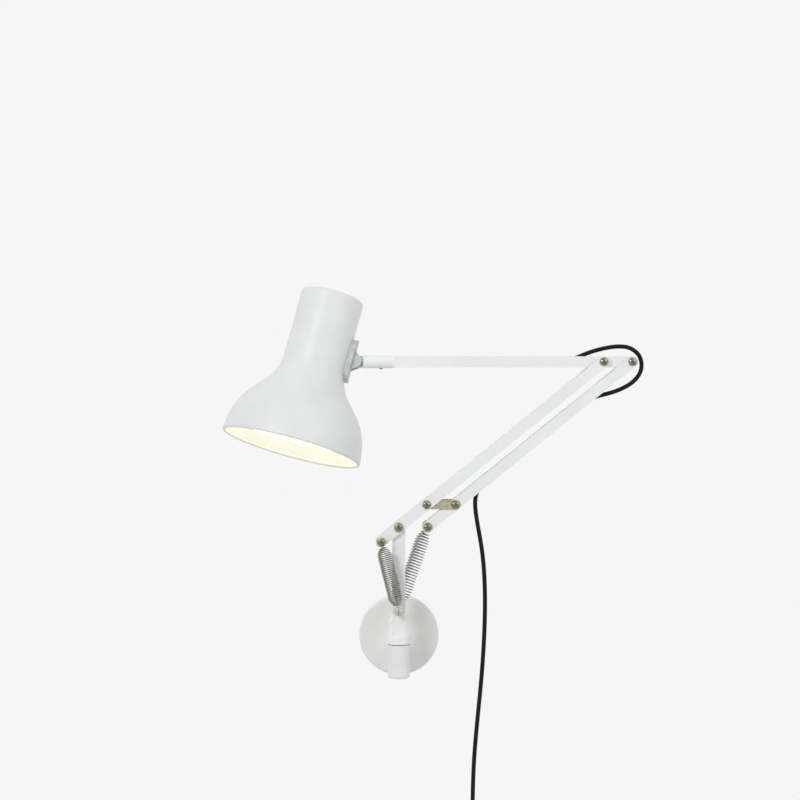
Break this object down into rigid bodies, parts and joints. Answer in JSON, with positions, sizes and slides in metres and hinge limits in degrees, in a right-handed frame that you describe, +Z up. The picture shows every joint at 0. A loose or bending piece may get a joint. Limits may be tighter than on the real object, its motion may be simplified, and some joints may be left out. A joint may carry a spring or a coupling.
{
  "type": "articulating wall lamp",
  "caption": "White wall light with a sprung two-arm linkage, a tilting bell shade and a lead on a plug.",
  "frame": {"origin": "centre of the wall plate's back face, on the wall", "axes": "+Z up, +Y into the wall, +X to the right as seen from the room; the arms lie parallel to the wall"},
  "size_m": [0.3871, 0.1324, 0.6149],
  "materials": {
    "white_paint": "satin",
    "cast_grey": "satin",
    "steel": "satin",
    "spring_steel": "polished",
    "zinc": "satin",
    "nylon": "satin",
    "black_plastic": "matte",
    "black_cord": "matte",
    "brass": "polished",
    "lamp_glass": "satin"
  },
  "bodies": {
    "wall_mount": {"wall_bracket": "white_paint", "backing_plate": "steel", "bracket_screws": "steel", "socket_bush": "nylon", "swivel_screw": "steel", "mains_cord": "black_cord", "cord_coil": "black_cord", "cord_tie": "black_plastic", "strain_relief": "black_plastic", "plug_body": "black_plastic", "plug_pins": "brass"},
    "upright": {"stem": "white_paint", "upright": "white_paint", "anchor_pin": "steel", "anchor_nut": "steel", "anchor_sleeves": "steel", "anchor_washers": "nylon", "front_spring": "spring_steel", "rear_spring": "spring_steel"},
    "lower_arm": {"lower_arm": "white_paint", "lower_arm_screws": "steel", "lower_arm_nuts": "steel", "lower_arm_washers": "nylon", "front_spring_sleeve": "steel", "lower_arm_spacers": "nylon"},
    "link": {"link_plates": "zinc", "link_tube": "zinc"},
    "forearm": {"forearm": "white_paint", "ferrule": "white_paint", "roll_stop_screw": "steel", "forearm_cord": "black_cord", "elbow_cord": "black_cord"},
    "balance_arm": {"balance_arm": "white_paint", "balance_arm_screws": "steel", "balance_arm_nuts": "steel", "balance_arm_washers": "nylon", "rear_spring_sleeve": "steel", "balance_arm_spacers": "nylon", "cord_grommets": "nylon", "arm_cord": "black_cord"},
    "knuckle": {"knuckle": "cast_grey"},
    "head": {"shade_bracket": "cast_grey", "tilt_pin": "steel", "bracket_neck_screws": "steel", "shade": "white_paint", "switch_housing": "nylon", "lampholder": "nylon", "bulb_cap": "brass", "bulb": "lamp_glass"},
    "switch_button": {"switch_button": "black_plastic"}
  },
  "joints": [
    {"name": "base_swivel", "type": "hinge", "parent": "wall_mount", "child": "upright", "pos_m": [0, -0.054, 0], "axis": [0, 0, 1], "range_deg": [-180, 0], "deforming": ["mains_cord"]},
    {"name": "arm_pivot", "type": "hinge", "parent": "upright", "child": "lower_arm", "pos_m": [0, -0.054, 0.1055], "axis": [0, 1, 0], "range_deg": [-55, 25], "deforming": ["mains_cord", "front_spring", "rear_spring"]},
    {"name": "elbow", "type": "hinge", "parent": "lower_arm", "child": "forearm", "pos_m": [0.18833, -0.054, 0.25747], "axis": [0, -1, 0], "range_deg": [-65, 10], "deforming": ["elbow_cord", "mains_cord", "rear_spring"]},
    {"name": "link_pivot", "type": "hinge", "parent": "lower_arm", "child": "link", "pos_m": [0.02568, -0.054, 0.12622], "axis": [0, -1, 0], "range_deg": [-65, 10]},
    {"name": "balance_pivot", "type": "hinge", "parent": "forearm", "child": "balance_arm", "pos_m": [0.21483, -0.054, 0.25747], "axis": [0, -1, 0], "range_deg": [-10, 65], "deforming": ["elbow_cord", "mains_cord", "rear_spring"]},
    {"name": "head_roll", "type": "hinge", "parent": "forearm", "child": "knuckle", "pos_m": [-0.04017, -0.054, 0.25747], "axis": [1, 0, 0], "range_deg": [-100, 80]},
    {"name": "head_tilt", "type": "hinge", "parent": "knuckle", "child": "head", "pos_m": [-0.04017, -0.054, 0.25747], "axis": [0, 0.9833, -0.1822], "range_deg": [-50, 45]},
    {"name": "switch_press", "type": "slide", "parent": "head", "child": "switch_button", "axis": [0.2554, 0.1762, 0.9506], "range_m": [-0.002, 0], "stiffness_N_per_m": 300, "springref_m": 0.001}
  ],
  "couplings": [
    {"joint": "link_pivot", "follows": "elbow", "ratio": 1},
    {"joint": "balance_pivot", "follows": "elbow", "ratio": -1}
  ]
}
